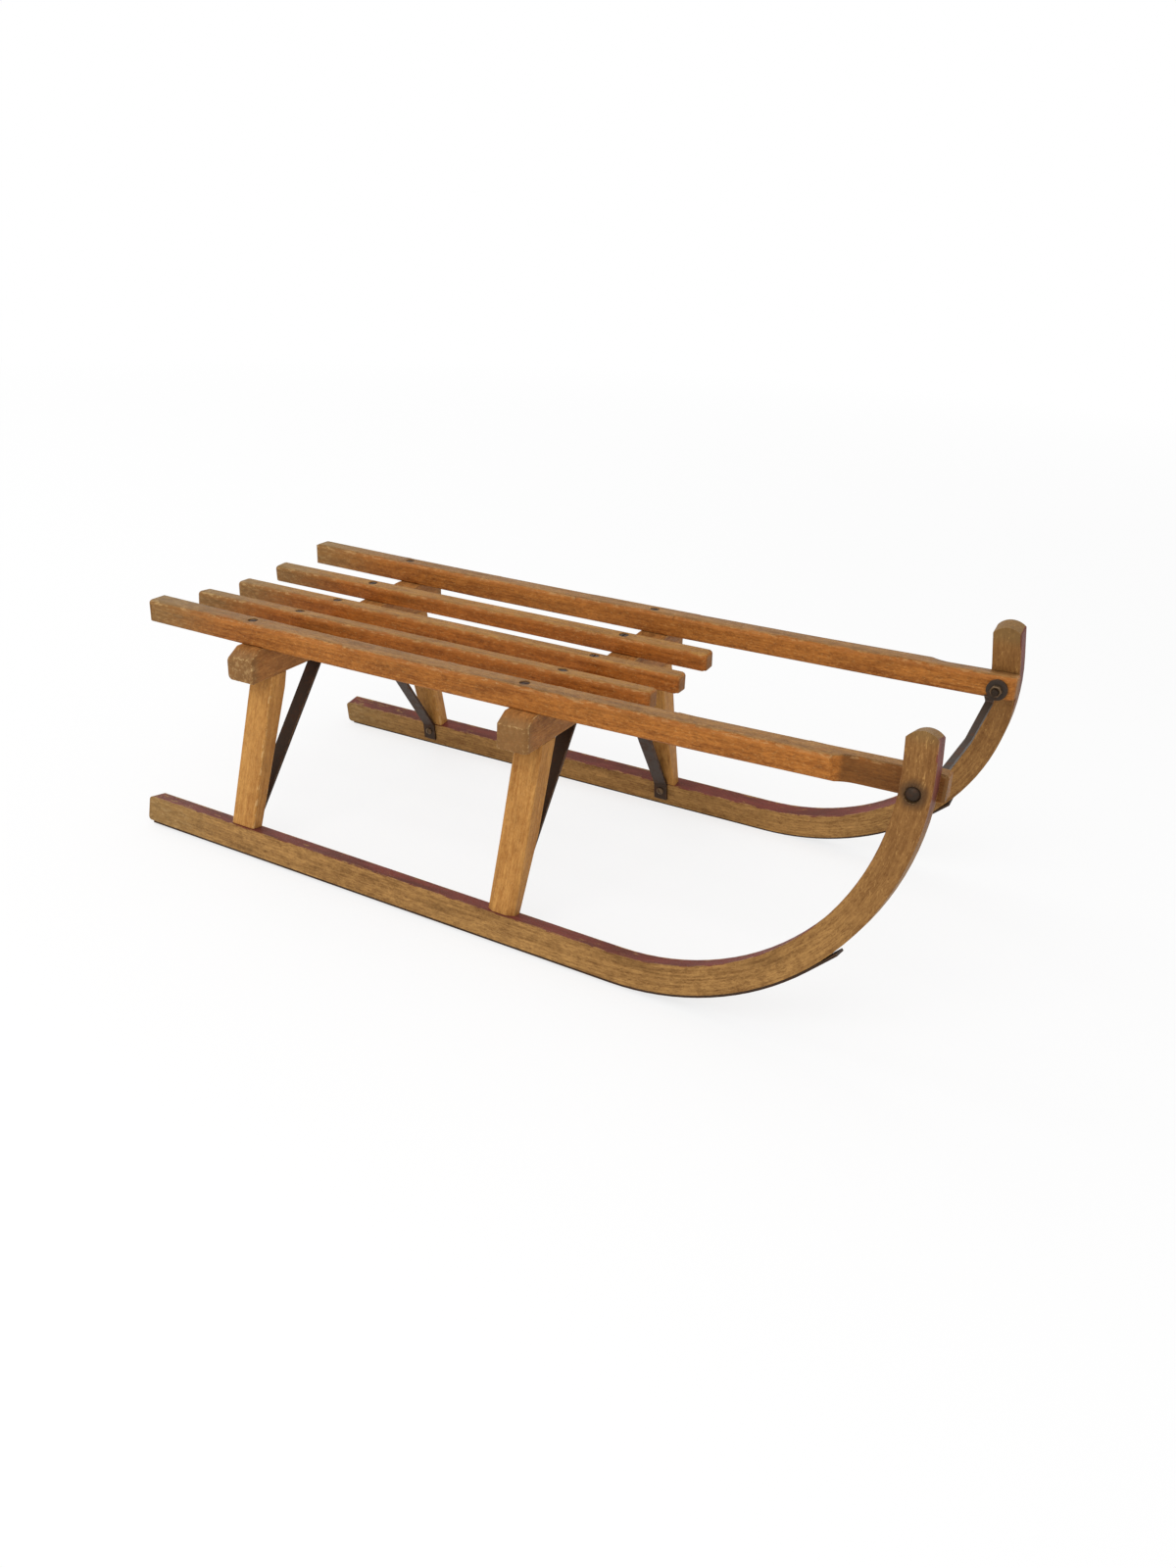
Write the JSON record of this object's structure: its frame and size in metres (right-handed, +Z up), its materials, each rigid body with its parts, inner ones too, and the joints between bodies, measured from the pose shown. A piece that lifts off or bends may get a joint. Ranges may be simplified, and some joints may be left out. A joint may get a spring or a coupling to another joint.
{
  "type": "wooden sled",
  "caption": "Slatted wooden sled on bent, steel-shod runners that rise to horns, with splayed legs, dished cross bearers and a flat pull iron across the nose.",
  "frame": {"origin": "on the ground, midway along, across the middle of the sled", "axes": "+X forward to the horns, +Y to the left, +Z up"},
  "size_m": [0.818, 0.3782, 0.2935],
  "materials": {
    "seat_wood": "worn varnish",
    "frame_wood": "worn varnish",
    "runner_wood": "worn varnish, dull red paint on the upper faces",
    "dark_steel": "dark, lightly rusted"
  },
  "bodies": {
    "root": {"runner_left": "runner_wood", "runner_right": "runner_wood", "runner_strip_left": "dark_steel", "runner_strip_right": "dark_steel", "rail_left": "seat_wood", "rail_right": "seat_wood", "slat_left": "seat_wood", "slat_middle": "seat_wood", "slat_right": "seat_wood", "bearer_front": "frame_wood", "bearer_rear": "frame_wood", "leg_front_left": "frame_wood", "leg_front_right": "frame_wood", "leg_rear_left": "frame_wood", "leg_rear_right": "frame_wood", "stay_front_left": "dark_steel", "stay_front_right": "dark_steel", "stay_rear_left": "dark_steel", "stay_rear_right": "dark_steel", "pull_iron": "dark_steel", "horn_bolt_left": "dark_steel", "horn_bolt_right": "dark_steel", "horn_nut_left": "dark_steel", "horn_nut_right": "dark_steel", "seat_screws": "dark_steel", "stay_screws": "dark_steel"}
  },
  "joints": []
}
